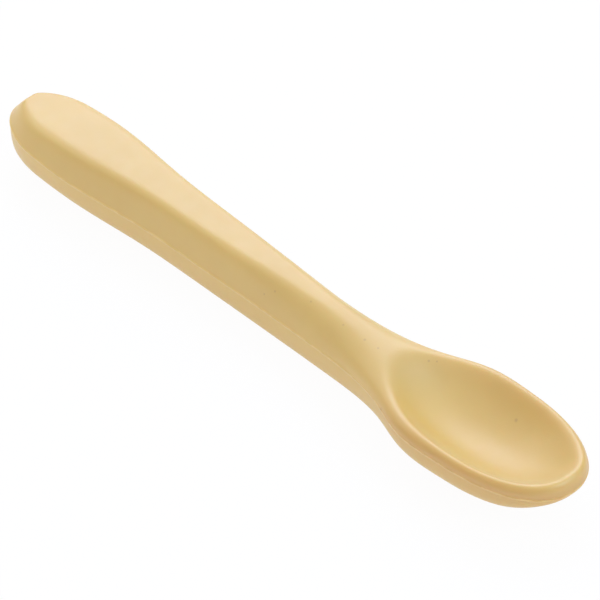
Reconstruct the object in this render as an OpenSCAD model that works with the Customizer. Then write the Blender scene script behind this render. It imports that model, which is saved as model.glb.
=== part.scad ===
// Baby spoon: a soft silicone moulding over a stiff core.
// +X runs from the handle towards the tip of the bowl and +Z is up.
// The origin is under the middle of the spoon, on the surface that it rests on.

/* [Overall] */
// Length from the end of the handle to the tip of the bowl
spoon_length = 140; // [130:1:150]
// Height of the mould's parting line above the resting face, at the handle's end
parting_height = 9.1; // [8.6:0.1:9.6]
// Dip of the parting line at the neck
parting_dip = 1.15; // [0:0.05:1.8]
// Rise of the parting line at the bowl
parting_rise = 0.45; // [0:0.05:1]
// Depth that the flat land of the underside cuts into the belly of the handle
land_depth = 0.2; // [0.15:0.05:0.4]

/* [Handle] */
// Width that the outline heads for at the handle's end, before the end is rounded
handle_end_width = 13.8; // [12:0.1:15]
// Width of the paddle, the widest place of the handle
paddle_width = 16; // [15:0.1:18]
// Width where the paddle has narrowed to the shank
shank_width = 13.3; // [12.5:0.1:14.5]
// Width at the middle of the grip
grip_width = 12; // [11:0.1:13]
// Height of the flat top
top_height = 14.1; // [13.8:0.1:14.8]
// Height of the underside at the handle's end
handle_lift = 0.3; // [0.2:0.1:1]
// How far each side wall leans in between the parting line and the top
wall_lean = 2.4; // [0.5:0.1:3]
// Squareness of the edges of the top: 2 is an ellipse, higher is squarer
top_squareness = 7; // [4:0.5:8]

/* [Neck] */
// Width of the neck, the narrowest place
neck_width = 11.3; // [10.4:0.1:12]
// Height of the top at the neck
neck_height = 13.3; // [12.9:0.1:13.8]

/* [Bowl] */
// Width of the bowl at its widest place
bowl_width = 23.5; // [22:0.1:26]
// Width where the neck opens into the bowl
root_width = 16.6; // [15.5:0.1:18]
// Width at the shoulders of the bowl
shoulder_width = 22.3; // [21:0.1:23.5]
// Width that the outline heads for at the tip, before the tip is rounded
tip_width = 23; // [21:0.1:24]
// Height of the rim
rim_height = 13.35; // [12.9:0.05:13.8]
// Height of the bowl's underside
bowl_lift = 1.15; // [0.8:0.05:1.8]
// Length of the hollow along the spoon
hollow_length = 43.4; // [41:0.2:44]
// Width of the hollow
hollow_width = 22.55; // [20:0.05:23]
// Depth of the hollow below its rim
hollow_depth = 8.2; // [7:0.1:8.8]
// Height over which the rim's inner edge is softened
rim_softness = 1.4; // [0.8:0.1:2]

/* [Stiffening core] */
// Width of the core at the paddle
core_paddle_width = 9; // [7:0.1:9.5]
// Width of the core at the neck
core_neck_width = 5.6; // [5:0.1:6.4]
// Height of the core's two side rails
rail_height = 4.4; // [3:0.1:5]
// Thickness of the web between the rails
web_thickness = 1.8; // [1.2:0.1:2.4]
// Number of holes that the silicone fills to lock itself to the core
anchor_count = 5; // [2:1:6]

/* [Hidden] */

silicone_colour = [0.90, 0.79, 0.60];
core_colour = [0.93, 0.93, 0.90];

// Stations along the spoon, from the handle's end
paddle_at = 0.16 * spoon_length;
shank_at = 0.26 * spoon_length;
grip_at = 0.37 * spoon_length;
neck_at = 0.60 * spoon_length;
root_at = 0.715 * spoon_length;
shoulder_at = 0.77 * spoon_length;
bowl_at = 0.845 * spoon_length;

// Rounding of the two ends: how far in from the end it starts, and its power
handle_round = 11.5;
tip_round = 20.8;
top_end_round = 1.1;
top_tip_round = 3;
under_end_round = 4.5;
under_tip_round = 10.4;
end_power = 2.2;

// The rings of the mesh: most of them lie in the bowl, where the form changes most
handle_rings = 36;
bowl_rings = 60;
top_columns = 30;
under_columns = 16;

// Second derivatives of the natural cubic curve through [place, value] stations, found by elimination
function sweep(s, i = 1, done = [[0, 0]]) =
    i > len(s) - 2 ? done :
    let (
        before = s[i][0] - s[i - 1][0],
        after = s[i + 1][0] - s[i][0],
        turn = (s[i + 1][1] - s[i][1]) / after - (s[i][1] - s[i - 1][1]) / before,
        pivot = 2 * (before + after) - before * done[i - 1][0]
    )
    sweep(s, i + 1, concat(done, [[after / pivot, (6 * turn - before * done[i - 1][1]) / pivot]]));
function back(swept, i, found = [0]) =
    i == 0 ? concat([0], found) :
    back(swept, i - 1, concat([swept[i][1] - swept[i][0] * found[0]], found));
function curve(s) = [s, back(sweep(s), len(s) - 2)];
// Value of such a curve at x
function at(c, x) =
    let (
        s = c[0],
        i = max([for (k = [0 : len(s) - 2]) if (k == 0 || s[k][0] <= x) k]),
        step = s[i + 1][0] - s[i][0],
        u = (x - s[i][0]) / step,
        v = 1 - u
    )
    v * s[i][1] + u * s[i + 1][1]
        + ((pow(v, 3) - v) * c[1][i] + (pow(u, 3) - u) * c[1][i + 1]) * step * step / 6;

// Seen from above: half width at the parting line
half_width = curve([
    [0, handle_end_width / 2],
    [paddle_at, paddle_width / 2],
    [shank_at, shank_width / 2],
    [grip_at, grip_width / 2],
    [neck_at, neck_width / 2],
    [root_at, root_width / 2],
    [shoulder_at, shoulder_width / 2],
    [bowl_at, bowl_width / 2],
    [spoon_length, tip_width / 2]
]);
// Seen from the side: heights of the parting line, the top and the underside
parting = curve([
    [0, parting_height],
    [0.43 * spoon_length, parting_height - 0.85 * parting_dip],
    [neck_at, parting_height - parting_dip],
    [root_at, parting_height - 0.35 * parting_dip],
    [bowl_at, parting_height + 0.8 * parting_rise],
    [spoon_length, parting_height + parting_rise]
]);
top = curve([
    [0, top_height - 1.4],
    [paddle_at, top_height],
    [grip_at, top_height - 0.15],
    [0.5 * spoon_length, top_height - 0.2],
    [neck_at, neck_height],
    [root_at - 4, rim_height - 1],
    [bowl_at, rim_height],
    [spoon_length, rim_height]
]);
underside = curve([
    [0, handle_lift],
    [grip_at, 0.1],
    [neck_at, -land_depth],
    [root_at, 0.5 * bowl_lift],
    [bowl_at, bowl_lift],
    [0.93 * spoon_length, bowl_lift + 1.8],
    [spoon_length, bowl_lift + 5.6]
]);
squareness = curve([
    [0, top_squareness - 1],
    [grip_at, top_squareness],
    [neck_at, 3],
    [root_at, 3],
    [spoon_length, 3]
]);
under_squareness = 2.5;

// 0 at x = from, 1 at x = to, and smooth between them
function ease(x, from, to) =
    let (u = min(max((x - from) / (to - from), 0), 1))
    u * u * (3 - 2 * u);
// Rounds an end off: 0 at the end itself, 1 from the distance reach on
function rounded(distance, reach) = pow(1 - pow(1 - min(distance / reach, 1), end_power), 1 / end_power);
function both_ends(x, reach_0, reach_1) = rounded(x, reach_0) * rounded(spoon_length - x, reach_1);
function signed_pow(v, e) = sign(v) * pow(abs(v), e);
// Half width of the outline with its ends rounded, and the direction square to that outline at x
function reach(x) = at(half_width, x) * both_ends(x, handle_round, tip_round);
function outward(x) =
    let (
        before = max(x - 0.02, 0),
        after = min(x + 0.02, spoon_length),
        along = [after - before, reach(after) - reach(before)]
    )
    [-along[1], along[0]] / norm(along);
// The lower of two heights, with the edge between them softened over r
function soft_min(a, b, r) = min(a, b) - pow(max(1 - abs(a - b) / r, 0), 3) * r / 6;

// Height of the dish that hollows the bowl: a squarish oval, steepest at its edge
hollow_middle = spoon_length - 22.25;
hollow_outline_power = 2.25;
hollow_wall_power = 2.2;
function dish(x, y) =
    let (
        along = pow(abs(x - hollow_middle) / (hollow_length / 2), hollow_outline_power),
        across = pow(abs(y) / (hollow_width / 2), hollow_outline_power)
    )
    rim_height - hollow_depth * (1 - pow(along + across, hollow_wall_power / hollow_outline_power));

// One closed ring of points across the spoon at x, over the top and back under.
// The walls lean in square to the outline, so that the handle's end leans like its sides,
// and they stand upright again where the bowl begins.
function ring(x) =
    let (
        w = reach(x),
        p = at(parting, x),
        full = both_ends(x, top_end_round, top_tip_round),
        t = (at(top, x) - p) * full,
        b = (p - at(underside, x)) * both_ends(x, under_end_round, under_tip_round),
        lean = wall_lean * full * (1 - ease(x, 0.55 * spoon_length, root_at)) * outward(x),
        e = 2 / at(squareness, x)
    )
    concat(
        [for (j = [0 : top_columns - 1])
            let (
                a = 180 * j / top_columns,
                lift = pow(sin(a), e),
                u = x - lean[0] * lift,
                y = max(w - lean[1] * lift, 0) * signed_pow(cos(a), e),
                z = p + t * lift
            )
            [u - spoon_length / 2, y, u > neck_at ? soft_min(z, dish(u, y), rim_softness) : z]],
        [for (j = [0 : under_columns - 1])
            let (a = 180 + 180 * j / under_columns)
            [
                x - spoon_length / 2,
                w * signed_pow(cos(a), 2 / under_squareness),
                p + b * signed_pow(sin(a), 2 / under_squareness)
            ]]
    );

// The rings are joined by triangles, with one point closing each end
module moulding() {
    stations = concat(
        [for (i = [1 : handle_rings]) neck_at * (1 - cos(90 * i / handle_rings))],
        [for (i = [1 : bowl_rings - 1]) neck_at + (spoon_length - neck_at) * sin(90 * i / bowl_rings)]
    );
    columns = top_columns + under_columns;
    rings = len(stations);
    points = concat(
        [for (x = stations) each ring(x)],
        [[-spoon_length / 2, 0, at(parting, 0)], [spoon_length / 2, 0, at(parting, spoon_length)]]
    );
    skin = [for (i = [0 : rings - 2], j = [0 : columns - 1])
        let (
            k = (j + 1) % columns,
            a = i * columns + j,
            b = i * columns + k,
            c = (i + 1) * columns + k,
            d = (i + 1) * columns + j
        )
        each [[a, b, c], [a, c, d]]];
    handle_cap = [for (j = [0 : columns - 1]) [rings * columns, (j + 1) % columns, j]];
    last = (rings - 1) * columns;
    tip_cap = [for (j = [0 : columns - 1]) [rings * columns + 1, last + j, last + (j + 1) % columns]];
    polyhedron(points, concat(skin, handle_cap, tip_cap), convexity = 4);
}

// Core: a flat tapered bar with a round end at the paddle and one at the neck
core_start = 16 - spoon_length / 2;
core_end = 0.63 * spoon_length - spoon_length / 2;
core_height = parting_height - parting_dip;
rail_width = 1.2;
anchor_diameter = 2.4;

module bar_outline(inset = 0) {
    hull() {
        translate([core_start, 0]) circle(d = core_paddle_width - 2 * inset, $fn = 32);
        translate([core_end, 0]) circle(d = core_neck_width - 2 * inset, $fn = 32);
    }
}

module core_shape() {
    translate([0, 0, core_height]) {
        linear_extrude(rail_height, center = true)
            difference() {
                bar_outline();
                bar_outline(rail_width);
            }
        linear_extrude(web_thickness, center = true)
            difference() {
                bar_outline(rail_width / 2);
                for (i = [0 : anchor_count - 1])
                    translate([core_start + (core_end - core_start) * (i + 0.5) / anchor_count, 0])
                        circle(d = anchor_diameter, $fn = 48);
            }
    }
}

// Everything below the resting face is cut off, which leaves the flat land under the belly
module below_land() {
    depth = 5;
    translate([-spoon_length / 2, -paddle_width / 2, -depth]) cube([spoon_length, paddle_width, depth]);
}

module silicone_body() {
    color(silicone_colour)
        difference() {
            moulding();
            below_land();
            core_shape();
        }
}

module stiffening_core() {
    color(core_colour) core_shape();
}

silicone_body();
stiffening_core();
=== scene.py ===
from math import cos, pi, radians, sin

import bpy
import numpy as np
from mathutils import Euler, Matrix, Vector


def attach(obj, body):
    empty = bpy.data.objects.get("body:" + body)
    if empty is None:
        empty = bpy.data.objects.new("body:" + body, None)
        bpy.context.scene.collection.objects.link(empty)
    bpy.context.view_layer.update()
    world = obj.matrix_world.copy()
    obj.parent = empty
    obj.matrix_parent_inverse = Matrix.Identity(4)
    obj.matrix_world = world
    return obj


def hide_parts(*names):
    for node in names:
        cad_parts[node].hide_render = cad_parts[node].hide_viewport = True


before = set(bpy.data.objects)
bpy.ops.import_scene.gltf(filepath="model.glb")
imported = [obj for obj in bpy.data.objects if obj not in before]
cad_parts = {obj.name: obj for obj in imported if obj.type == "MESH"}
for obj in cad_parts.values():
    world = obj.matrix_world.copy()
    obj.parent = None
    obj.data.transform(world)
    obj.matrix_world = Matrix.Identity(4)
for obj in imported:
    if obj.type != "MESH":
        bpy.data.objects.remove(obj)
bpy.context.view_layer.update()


# Silicone moulding: the whole outside of the spoon, handle, neck and bowl, in one piece.
# It is soft food-grade silicone with a fine satin skin, pressed over the core in a mould of two
# halves, which leaves a thin raised line of flash all the way round the side.
mm = 0.001
spoon_length = 140 * mm
parting_height = 9.1 * mm
parting_dip = 1.15 * mm
parting_rise = 0.45 * mm
land_depth = 0.2 * mm
top_height = 14.1 * mm
handle_lift = 0.3 * mm
neck_height = 13.3 * mm
rim_height = 13.35 * mm
bowl_lift = 1.15 * mm

paddle_at = 0.16 * spoon_length
shank_at = 0.26 * spoon_length
grip_at = 0.37 * spoon_length
neck_at = 0.60 * spoon_length
root_at = 0.715 * spoon_length
shoulder_at = 0.77 * spoon_length
bowl_at = 0.845 * spoon_length


def smooth_curve(stations):
    """The natural cubic curve through (place, value) stations."""
    place, value = np.array(stations).T
    step = np.diff(place)
    slope = np.diff(value) / step
    system = np.eye(len(place))
    for i in range(1, len(place) - 1):
        system[i, i - 1 : i + 2] = step[i - 1], 2 * (step[i - 1] + step[i]), step[i]
    bend = np.linalg.solve(system, 6 * np.concatenate([[0], np.diff(slope), [0]]))

    def value_at(x):
        i = np.clip(np.searchsorted(place, x, side="right") - 1, 0, len(step) - 1)
        u = (x - place[i]) / step[i]
        v = 1 - u
        bow = (v**3 - v) * bend[i] + (u**3 - u) * bend[i + 1]
        return v * value[i] + u * value[i + 1] + bow * step[i] ** 2 / 6

    return value_at


half_width = smooth_curve(
    [
        (0, 6.9 * mm),
        (paddle_at, 8 * mm),
        (shank_at, 6.65 * mm),
        (grip_at, 6 * mm),
        (neck_at, 5.65 * mm),
        (root_at, 8.3 * mm),
        (shoulder_at, 11.15 * mm),
        (bowl_at, 11.75 * mm),
        (spoon_length, 11.5 * mm),
    ]
)
parting = smooth_curve(
    [
        (0, parting_height),
        (0.43 * spoon_length, parting_height - 0.85 * parting_dip),
        (neck_at, parting_height - parting_dip),
        (root_at, parting_height - 0.35 * parting_dip),
        (bowl_at, parting_height + 0.8 * parting_rise),
        (spoon_length, parting_height + parting_rise),
    ]
)
top = smooth_curve(
    [
        (0, top_height - 1.4 * mm),
        (paddle_at, top_height),
        (grip_at, top_height - 0.15 * mm),
        (0.5 * spoon_length, top_height - 0.2 * mm),
        (neck_at, neck_height),
        (root_at - 4 * mm, rim_height - 1 * mm),
        (bowl_at, rim_height),
        (spoon_length, rim_height),
    ]
)
underside = smooth_curve(
    [
        (0, handle_lift),
        (grip_at, 0.1 * mm),
        (neck_at, -land_depth),
        (root_at, 0.5 * bowl_lift),
        (bowl_at, bowl_lift),
        (0.93 * spoon_length, bowl_lift + 1.8 * mm),
        (spoon_length, bowl_lift + 5.6 * mm),
    ]
)
top_squareness = smooth_curve(
    [(0, 6), (grip_at, 7), (neck_at, 2.5), (root_at, 2.2), (spoon_length, 2.3)]
)


def rounded_ends(x, handle_reach, tip_reach):
    """0 at both ends of the spoon, rising to 1 over the two reaches."""
    power = 2.2
    handle_part = (1 - (1 - np.minimum(x / handle_reach, 1)) ** power) ** (1 / power)
    tip_part = (1 - (1 - np.minimum((spoon_length - x) / tip_reach, 1)) ** power) ** (1 / power)
    return handle_part * tip_part


# The rail is a chain of points along the spoon. Each point carries the measures of the section there,
# and they stand closest at the two ends and at the neck, where the form turns quickest.
handle_rings = 170
bowl_rings = 200
handle_turn = np.linspace(0, pi / 2, handle_rings)
bowl_turn = np.linspace(pi / 2, pi, bowl_rings)
turn = np.concatenate([handle_turn, bowl_turn[1:]])
rail_x = np.where(
    turn < pi / 2,
    neck_at * (1 - np.cos(turn)),
    neck_at + (spoon_length - neck_at) * np.sin(turn - pi / 2),
)
rail_x[-1] = spoon_length
outline_ends = rounded_ends(rail_x, 11.5 * mm, 20.8 * mm)
top_ends = rounded_ends(rail_x, 1.1 * mm, 3 * mm)
underside_ends = rounded_ends(rail_x, 4.5 * mm, 10.4 * mm)
rail_width = half_width(rail_x) * outline_ends

# The walls of the handle lean in towards the top, and the lean fades out from the neck to the bowl.
wall_lean = 2.4 * mm
fade_start = 0.55 * spoon_length
fade = np.clip((rail_x - fade_start) / (root_at - fade_start), 0, 1)

# The outward way of the outline at each point, which is straight along the spoon at its two ends.
run, spread = np.gradient(rail_x), np.gradient(rail_width)
run[[0, -1]] = 0
rail_measures = {
    "half_width": rail_width,
    "parting": parting(rail_x),
    "rise": (top(rail_x) - parting(rail_x)) * top_ends,
    "drop": (parting(rail_x) - underside(rail_x)) * underside_ends,
    "lean": wall_lean * (1 - fade**2 * (3 - 2 * fade)) * top_ends,
    "squareness": top_squareness(rail_x),
    "outward_x": -spread / np.hypot(run, spread),
    "outward_y": run / np.hypot(run, spread),
}
rail = bpy.data.meshes.new("spoon_rail")
rail.from_pydata(
    [(x, 0, 0) for x in rail_x - spoon_length / 2],
    [(i, i + 1) for i in range(len(rail_x) - 1)],
    [],
)
for name, values in rail_measures.items():
    rail.attributes.new(name, "FLOAT", "POINT").data.foreach_set("value", values.astype(np.float32))

# The skin tree lofts the sections of the rail and presses the hollow of the bowl into them.
skin = bpy.data.node_groups.new("spoon_skin", "GeometryNodeTree")
skin.interface.new_socket("Geometry", in_out="OUTPUT", socket_type="NodeSocketGeometry")
for name, kind in [
    ("Rail", "NodeSocketGeometry"),
    ("Columns", "NodeSocketInt"),
    ("Hollow Middle", "NodeSocketFloat"),
    ("Hollow Length", "NodeSocketFloat"),
    ("Hollow Width", "NodeSocketFloat"),
    ("Hollow Depth", "NodeSocketFloat"),
    ("Rim Height", "NodeSocketFloat"),
    ("Rim Softness", "NodeSocketFloat"),
    ("Bead Height", "NodeSocketFloat"),
    ("Bead Width", "NodeSocketFloat"),
    ("Silicone", "NodeSocketMaterial"),
]:
    skin.interface.new_socket(name, in_out="INPUT", socket_type=kind)
given = skin.nodes.new("NodeGroupInput").outputs


def fit(socket, value):
    """Links a value to a socket, or sets it there."""
    if isinstance(value, bpy.types.NodeSocket):
        socket.id_data.links.new(value, socket)
    else:
        socket.default_value = value


def maths(operation, *values):
    """The result of one operation on the skin tree's values."""
    node = skin.nodes.new("ShaderNodeMath")
    node.operation = operation
    for socket, value in zip(node.inputs, values):
        fit(socket, value)
    return node.outputs[0]


def skin_node(kind, values, **settings):
    """A node of the skin tree, with its settings and inputs."""
    node = skin.nodes.new(kind)
    for name, value in settings.items():
        setattr(node, name, value)
    for name, value in values.items():
        fit(node.inputs[name], value)
    return node


rings = skin_node("GeometryNodeAttributeDomainSize", {"Geometry": given["Rail"]}).outputs["Point Count"]
columns = maths("ADD", given["Columns"], 1)
sheet = skin_node("GeometryNodeMeshGrid", {"Vertices X": rings, "Vertices Y": columns})
place = skin.nodes.new("GeometryNodeInputIndex").outputs[0]
ring = maths("FLOOR", maths("DIVIDE", place, columns))
column = maths("SUBTRACT", place, maths("MULTIPLY", ring, columns))


def measure(name):
    """The rail's own measure at this point's ring."""
    held = skin_node("GeometryNodeInputNamedAttribute", {"Name": name}, data_type="FLOAT")
    sample = skin_node(
        "GeometryNodeSampleIndex",
        {"Geometry": given["Rail"], "Value": held.outputs["Attribute"], "Index": ring},
    )
    return sample.outputs["Value"]


# Round the section the columns crowd towards the parting line, so that the bead there is finely cut.
crowding = 0.42
even_angle = maths("MULTIPLY", maths("DIVIDE", column, given["Columns"]), 2 * pi)
angle = maths("MULTIPLY_ADD", maths("SINE", maths("MULTIPLY", even_angle, 2)), -crowding, even_angle)
across, lift = maths("COSINE", angle), maths("SINE", angle)
is_top = maths("GREATER_THAN", lift, 0)
under_squareness = 2.5
more_square = maths("SUBTRACT", measure("squareness"), under_squareness)
power = maths("MULTIPLY_ADD", is_top, more_square, under_squareness)
reach = maths(
    "POWER",
    maths(
        "ADD",
        maths("POWER", maths("ABSOLUTE", across), power),
        maths("POWER", maths("ABSOLUTE", lift), power),
    ),
    maths("DIVIDE", -1, power),
)
across, lift = maths("MULTIPLY", across, reach), maths("MULTIPLY", lift, reach)
inset = maths("MULTIPLY", measure("lean"), maths("MAXIMUM", lift, 0))
reach_at_lift = maths("SUBTRACT", measure("half_width"), maths("MULTIPLY", measure("outward_y"), inset))
y = maths("MULTIPLY", maths("MAXIMUM", reach_at_lift, 0), across)
height = maths(
    "ADD",
    maths("MULTIPLY", maths("MULTIPLY", measure("rise"), is_top), lift),
    maths("MULTIPLY", maths("MULTIPLY", measure("drop"), maths("SUBTRACT", 1, is_top)), lift),
)
z = maths("ADD", measure("parting"), height)
here = skin.nodes.new("GeometryNodeInputPosition").outputs[0]
rail_place = skin_node(
    "GeometryNodeSampleIndex",
    {"Geometry": given["Rail"], "Value": here, "Index": ring},
    data_type="FLOAT_VECTOR",
)
rail_spot = skin_node("ShaderNodeSeparateXYZ", {0: rail_place.outputs["Value"]}).outputs[0]
x = maths("SUBTRACT", rail_spot, maths("MULTIPLY", measure("outward_x"), inset))

# The hollow is a squarish oval dish, steepest at its edge, and the rim is where it meets the top.
outline_power, wall_power = 2.25, 2.2
along_hollow = maths("DIVIDE", maths("SUBTRACT", x, given["Hollow Middle"]), given["Hollow Length"])
across_hollow = maths("DIVIDE", y, given["Hollow Width"])
from_middle = maths(
    "ADD",
    maths("POWER", maths("ABSOLUTE", maths("MULTIPLY", along_hollow, 2)), outline_power),
    maths("POWER", maths("ABSOLUTE", maths("MULTIPLY", across_hollow, 2)), outline_power),
)
dish_fall = maths("SUBTRACT", 1, maths("POWER", from_middle, wall_power / outline_power))
dish = maths("SUBTRACT", given["Rim Height"], maths("MULTIPLY", given["Hollow Depth"], dish_fall))
z = maths("SMOOTH_MIN", z, dish, given["Rim Softness"])
z = maths("MAXIMUM", z, 0)

# The flash is a soft bead that stands out along the parting line, square to the outline, and is
# half as wide above the line as below it.
above_bead = maths("DIVIDE", height, maths("MULTIPLY", given["Bead Width"], 0.5))
below_bead = maths("DIVIDE", height, maths("MULTIPLY", given["Bead Width"], -1))
bead = maths("MAXIMUM", maths("SUBTRACT", 1, maths("MAXIMUM", above_bead, below_bead)), 0)
stand_out = maths("MULTIPLY", bead, given["Bead Height"])
x = maths("MULTIPLY_ADD", stand_out, measure("outward_x"), x)
side = maths("SIGN", across)
y = maths("MULTIPLY_ADD", maths("MULTIPLY", stand_out, side), measure("outward_y"), y)

spot = skin_node("ShaderNodeCombineXYZ", {"X": x, "Y": y, "Z": z}).outputs[0]
marked = skin_node(
    "GeometryNodeStoreNamedAttribute",
    {"Geometry": sheet.outputs["Mesh"], "Name": "above_parting", "Value": height},
    data_type="FLOAT",
    domain="POINT",
)
shaped = skin_node("GeometryNodeSetPosition", {"Geometry": marked.outputs[0], "Position": spot})
closed = skin_node("GeometryNodeMergeByDistance", {"Geometry": shaped.outputs[0], "Distance": 0.001 * mm})
# The loft's faces come out pointing into the spoon, so they are turned outwards.
outward = skin_node("GeometryNodeFlipFaces", {"Mesh": closed.outputs[0]})
smooth = skin_node("GeometryNodeSetShadeSmooth", {"Geometry": outward.outputs[0], "Shade Smooth": True})
real = skin_node("GeometryNodeRealizeInstances", {"Geometry": smooth.outputs[0]})
dressed = skin_node(
    "GeometryNodeSetMaterial", {"Geometry": real.outputs[0], "Material": given["Silicone"]}
)
skin.links.new(dressed.outputs[0], skin.nodes.new("NodeGroupOutput").inputs[0])

# Satin silicone: cream, slightly translucent, with a fine moulded grain and a few specks of dust
# that were caught in it.
silicone = bpy.data.materials.new("cream_silicone")
silicone.use_nodes = True
paint = silicone.node_tree
surface = paint.nodes["Principled BSDF"]
surface.inputs["Subsurface Weight"].default_value = 0.5
surface.inputs["Subsurface Radius"].default_value = (1.0, 0.55, 0.2)
surface.inputs["Subsurface Scale"].default_value = 3.5 * mm
surface.inputs["IOR"].default_value = 1.9
surface.inputs["Specular IOR Level"].default_value = 1.0
surface.inputs["Sheen Weight"].default_value = 0.3
surface.inputs["Sheen Roughness"].default_value = 0.4
coords = paint.nodes.new("ShaderNodeTexCoord").outputs["Object"]


def paint_node(tree, kind, values, **settings):
    """A node of a material, with its settings and inputs."""
    node = tree.nodes.new(kind)
    for name, value in settings.items():
        setattr(node, name, value)
    for name, value in values.items():
        fit(node.inputs[name], value)
    return node


def paint_mix(tree, share, first, second):
    """The first colour where the share is 0 and the second where it is 1."""
    # A Mix node's colours are its inputs 6 and 7, and the mixed colour is its output 2.
    return paint_node(tree, "ShaderNodeMix", {0: share, 6: first, 7: second}, data_type="RGBA").outputs[2]


cream_light = (0.76, 0.495, 0.07, 1)
cream_dark = (0.735, 0.47, 0.058, 1)
# This deepest cream is painted shade for the wall round the bowl.
cream_painted_shade = (0.65, 0.355, 0.002, 1)
# This pale cream is a painted highlight along the flash.
flash_painted_highlight = (0.88, 0.59, 0.17, 1)
dust_brown = (0.48, 0.23, 0.02, 1)
clouds = paint_node(paint, "ShaderNodeTexNoise", {"Vector": coords, "Scale": 90.0, "Detail": 3.0})
grain = paint_node(paint, "ShaderNodeTexNoise", {"Vector": coords, "Scale": 2600.0, "Detail": 4.0})
mottle = paint_node(paint, "ShaderNodeTexNoise", {"Vector": coords, "Scale": 420.0, "Detail": 5.0})
cloud_range = paint_node(
    paint,
    "ShaderNodeMapRange",
    {"Value": clouds.outputs[0], "From Min": 0.35, "From Max": 0.65},
)
cream = paint_mix(paint, cloud_range.outputs[0], cream_dark, cream_light)

# Painted shade: the wall round the bowl is coloured a deeper, darker cream. It is darkest just above the
# parting line and fades out about 3 mm above it. Just below the line it is at half strength, fading out 5
# mm below. Painted highlight: the flash itself is coloured paler, in a broken line.
parting_mark = paint_node(paint, "ShaderNodeAttribute", {}, attribute_name="above_parting")
above_parting = parting_mark.outputs["Fac"]
way_along = paint_node(paint, "ShaderNodeSeparateXYZ", {0: coords}).outputs[0]


def paint_range(value, low, high, at_low, at_high):
    """at_low up to the low value, at_high from the high one on, and a soft step between them."""
    return paint_node(
        paint,
        "ShaderNodeMapRange",
        {"Value": value, "From Min": low, "From Max": high, "To Min": at_low, "To Max": at_high},
        interpolation_type="SMOOTHSTEP",
    ).outputs[0]


def paint_maths(operation, *values):
    """The result of one operation on the silicone's values."""
    node = paint.nodes.new("ShaderNodeMath")
    node.operation = operation
    for socket, value in zip(node.inputs, values):
        fit(socket, value)
    return node.outputs[0]


bowl_share = paint_range(way_along, 26 * mm, 40 * mm, 0.0, 1.0)
upper_share = paint_range(above_parting, 0.3 * mm, 3.2 * mm, 1.0, 0.0)
lower_share = paint_range(above_parting, -5 * mm, -1 * mm, 0.0, 0.5)
is_upper = paint_maths("GREATER_THAN", above_parting, 0)
upper_more = paint_maths("SUBTRACT", upper_share, lower_share)
wall_share = paint_maths("MULTIPLY_ADD", is_upper, upper_more, lower_share)
painted_shade_share = paint_maths("MULTIPLY", bowl_share, wall_share)
flash_line = paint_range(paint_maths("ABSOLUTE", above_parting), 0.08 * mm, 0.24 * mm, 0.75, 0.0)
flash_breaks = paint_range(mottle.outputs[0], 0.4, 0.6, 0.25, 1.0)
painted_highlight_share = paint_maths("MULTIPLY", flash_line, flash_breaks)
# Painted shade on the wall round the bowl, about the parting line.
cream = paint_mix(paint, painted_shade_share, cream, cream_painted_shade)
# Painted highlight along the flash, broken up by the mottle.
cream = paint_mix(paint, painted_highlight_share, cream, flash_painted_highlight)

# Specks of dust in the silicone: the place of each and the radius of its mark, in millimetres.
specks = [
    (49.4, 6.7, 7.8, 0.38),
    (20.3, -1.5, 12.7, 0.3),
    (23.3, -1.2, 12.5, 0.25),
    (15.2, -1.8, 13.0, 0.25),
    (7.3, -2.0, 13.4, 0.25),
    (0.0, -3.7, 12.0, 0.25),
    (-1.9, -4.5, 10.6, 0.2),
    (30.5, 4.1, 10.8, 0.25),
    (31.5, 5.1, 10.7, 0.2),
    (32.1, -9.1, 9.1, 0.3),
]
for speck_x, speck_y, speck_z, speck_radius in specks:
    distance = paint_node(
        paint,
        "ShaderNodeVectorMath",
        {0: coords, 1: (speck_x * mm, speck_y * mm, speck_z * mm)},
        operation="DISTANCE",
    )
    speck = speck_radius * mm
    mark = paint_range(distance.outputs["Value"], 0.3 * speck, 1.3 * speck, 0.5, 0.0)
    cream = paint_mix(paint, mark, cream, dust_brown)
paint.links.new(cream, surface.inputs["Base Color"])
roughness_range = paint_node(
    paint,
    "ShaderNodeMapRange",
    {"Value": mottle.outputs[0], "From Min": 0.3, "From Max": 0.7, "To Min": 0.47, "To Max": 0.53},
)
paint.links.new(roughness_range.outputs[0], surface.inputs["Roughness"])
skin_grain = paint_node(
    paint,
    "ShaderNodeBump",
    {"Height": grain.outputs[0], "Distance": 0.02 * mm, "Strength": 0.35},
)
soft_waves = paint_node(
    paint,
    "ShaderNodeBump",
    {
        "Height": mottle.outputs[0],
        "Distance": 0.05 * mm,
        "Strength": 0.3,
        "Normal": skin_grain.outputs[0],
    },
)
paint.links.new(soft_waves.outputs[0], surface.inputs["Normal"])

silicone_moulding = bpy.data.objects.new("silicone_moulding", rail)
bpy.context.scene.collection.objects.link(silicone_moulding)
loft = silicone_moulding.modifiers.new("skin", "NODES")
loft.node_group = skin
skin_sizes = {
    "Columns": 240,
    "Hollow Middle": 47.75 * mm,
    "Hollow Length": 43.4 * mm,
    "Hollow Width": 22.55 * mm,
    "Hollow Depth": 8.2 * mm,
    "Rim Height": rim_height,
    "Rim Softness": 3 * mm,
    "Bead Height": 0.11 * mm,
    "Bead Width": 0.45 * mm,
    "Silicone": silicone,
}
for name, value in skin_sizes.items():
    loft[skin.interface.items_tree[name].identifier] = value
bpy.context.view_layer.update()
evaluated = bpy.context.evaluated_depsgraph_get()
lofted = silicone_moulding.evaluated_get(evaluated)
skin_mesh = bpy.data.meshes.new_from_object(lofted, depsgraph=evaluated)
silicone_moulding.modifiers.remove(loft)

# The skin is shaded smooth, but for folds sharper than this angle.
sharp_fold = radians(35)
skin_mesh.set_sharp_from_angle(angle=sharp_fold)
silicone_moulding.data = skin_mesh
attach(silicone_moulding, "root")
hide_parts("silicone_body")


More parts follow.
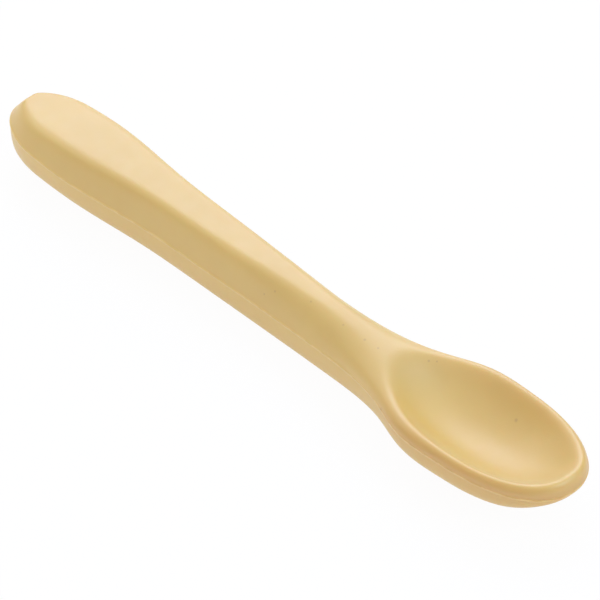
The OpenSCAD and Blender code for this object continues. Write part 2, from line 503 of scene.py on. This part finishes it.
# Stiffening core: the nylon bar sealed in the handle and the neck.
# It is injection moulded, two rails joined by a web with holes, and the silicone is moulded round it.
# It doesn't show in the finished spoon, and its shape is the CAD model's own.
nylon = bpy.data.materials.new("natural_nylon")
nylon.use_nodes = True
bar = nylon.node_tree
bar_surface = bar.nodes["Principled BSDF"]
bar_surface.inputs["Subsurface Weight"].default_value = 0.3
bar_surface.inputs["Subsurface Radius"].default_value = (1.0, 0.9, 0.7)
bar_surface.inputs["Subsurface Scale"].default_value = 0.8 * mm
bar_coords = bar.nodes.new("ShaderNodeTexCoord").outputs["Object"]
flow = paint_node(bar, "ShaderNodeTexNoise", {"Vector": bar_coords, "Scale": 160.0, "Detail": 4.0})
nylon_dark = (0.80, 0.80, 0.74, 1)
nylon_light = (0.88, 0.88, 0.84, 1)
milky = paint_mix(bar, flow.outputs[0], nylon_dark, nylon_light)
bar.links.new(milky, bar_surface.inputs["Base Color"])
bar_gloss = paint_node(
    bar,
    "ShaderNodeMapRange",
    {"Value": flow.outputs[0], "From Min": 0.3, "From Max": 0.7, "To Min": 0.4, "To Max": 0.55},
)
bar.links.new(bar_gloss.outputs[0], bar_surface.inputs["Roughness"])
bar_grain = paint_node(bar, "ShaderNodeTexNoise", {"Vector": bar_coords, "Scale": 2200.0, "Detail": 3.0})
bar_bump = paint_node(
    bar,
    "ShaderNodeBump",
    {"Height": bar_grain.outputs[0], "Distance": 0.03 * mm, "Strength": 0.4},
)
bar.links.new(bar_bump.outputs[0], bar_surface.inputs["Normal"])
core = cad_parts["stiffening_core"]
core.data.materials.clear()
core.data.materials.append(nylon)


# White table: the spoon lies on its own on a plain white sheet that runs out of the picture. The
# sheet glows a little, and looks almost white to the camera, so that only a faint shadow is left.
sheet_mesh = bpy.data.meshes.new("white_table")
sheet_half = 1.5
sheet_height = -0.02 * mm
sheet_mesh.from_pydata(
    [
        (-sheet_half, -sheet_half, sheet_height),
        (sheet_half, -sheet_half, sheet_height),
        (sheet_half, sheet_half, sheet_height),
        (-sheet_half, sheet_half, sheet_height),
    ],
    [],
    [(0, 1, 2, 3)],
)
white_table = bpy.data.objects.new("white_table", sheet_mesh)
bpy.context.scene.collection.objects.link(white_table)
card = bpy.data.materials.new("white_card")
card.use_nodes = True
card_tree = card.node_tree
card_surface = card_tree.nodes["Principled BSDF"]
card_surface.inputs["Base Color"].default_value = (0.60, 0.60, 0.60, 1)
card_surface.inputs["Roughness"].default_value = 0.9
card_surface.inputs["Emission Color"].default_value = (0.97, 0.95, 1.05, 1)
card_surface.inputs["Emission Strength"].default_value = 0.42
glow = paint_node(card_tree, "ShaderNodeEmission", {"Color": (1, 1, 1, 1), "Strength": 1.0})
card_path = card_tree.nodes.new("ShaderNodeLightPath")
seen_share = paint_node(
    card_tree, "ShaderNodeMath", {0: card_path.outputs["Is Camera Ray"], 1: 0.92}, operation="MULTIPLY"
)
whitened = paint_node(
    card_tree,
    "ShaderNodeMixShader",
    {0: seen_share.outputs[0], 1: card_surface.outputs[0], 2: glow.outputs[0]},
)
card_tree.links.new(whitened.outputs[0], card_tree.nodes["Material Output"].inputs["Surface"])
sheet_mesh.materials.append(card)

# Light: a broad soft lamp high behind the spoon, a weaker one beyond each end, and a pale room that
# is brightest overhead. The camera sees the room as plain white.
world = bpy.data.worlds.new("studio")
bpy.context.scene.world = world
world.use_nodes = True
room = world.node_tree
room_light = room.nodes["Background"]
room_light.inputs["Color"].default_value = (1, 1, 1, 1)
sky_way = room.nodes.new("ShaderNodeTexCoord").outputs["Generated"]
sky_height = paint_node(room, "ShaderNodeSeparateXYZ", {0: sky_way}).outputs[2]
sky_range = paint_node(
    room,
    "ShaderNodeMapRange",
    {"Value": sky_height, "From Min": 0.1, "From Max": 0.8, "To Min": 0.44, "To Max": 0.78},
    interpolation_type="SMOOTHSTEP",
)
room_seen = paint_node(
    room,
    "ShaderNodeMix",
    {0: room.nodes.new("ShaderNodeLightPath").outputs["Is Camera Ray"], 2: sky_range.outputs[0], 3: 1.0},
    data_type="FLOAT",
)
room.links.new(room_seen.outputs[0], room_light.inputs["Strength"])


def soft_lamp(name, place, width, power, colour=(1, 1, 1)):
    """A round lamp, turned towards the spoon."""
    lamp = bpy.data.lights.new(name, "AREA")
    lamp.shape = "DISK"
    lamp.size = width
    lamp.energy = power
    lamp.color = colour
    holder = bpy.data.objects.new(name, lamp)
    holder.location = place
    holder.rotation_euler = (-Vector(place)).to_track_quat("-Z", "Y").to_euler()
    bpy.context.scene.collection.objects.link(holder)


soft_lamp("window_lamp", (-0.57, 0.57, 0.59), 1.0, 3.85, (0.91, 0.97, 1.27))
soft_lamp("tip_lamp", (0.75, 0.25, 0.6), 0.5, 1.6, (0.7, 1.0, 1.3))
soft_lamp("end_lamp", (-0.8, -0.2, 0.56), 0.5, 0.55)

# Camera: a long lens at the photograph's viewing angle.
camera_data = bpy.data.cameras.new("camera")
camera = bpy.data.objects.new("camera", camera_data)
bpy.context.scene.collection.objects.link(camera)
bpy.context.scene.camera = camera
view_turn, view_height, view_distance = radians(46.0), radians(42.81), 1.455
aim = Vector((5 * mm, 0, 9.1 * mm))
toward_camera = Vector(
    (sin(view_turn) * cos(view_height), -cos(view_turn) * cos(view_height), sin(view_height))
)
camera.location = aim + view_distance * toward_camera
camera.rotation_euler = Euler((pi / 2 - view_height, 0, view_turn))
camera_data.sensor_width = 36
camera_data.lens = 498.2
camera_data.shift_x = -0.0165
camera_data.shift_y = 0.0125
camera_data.clip_end = 20
bpy.context.scene.view_settings.view_transform = "Standard"
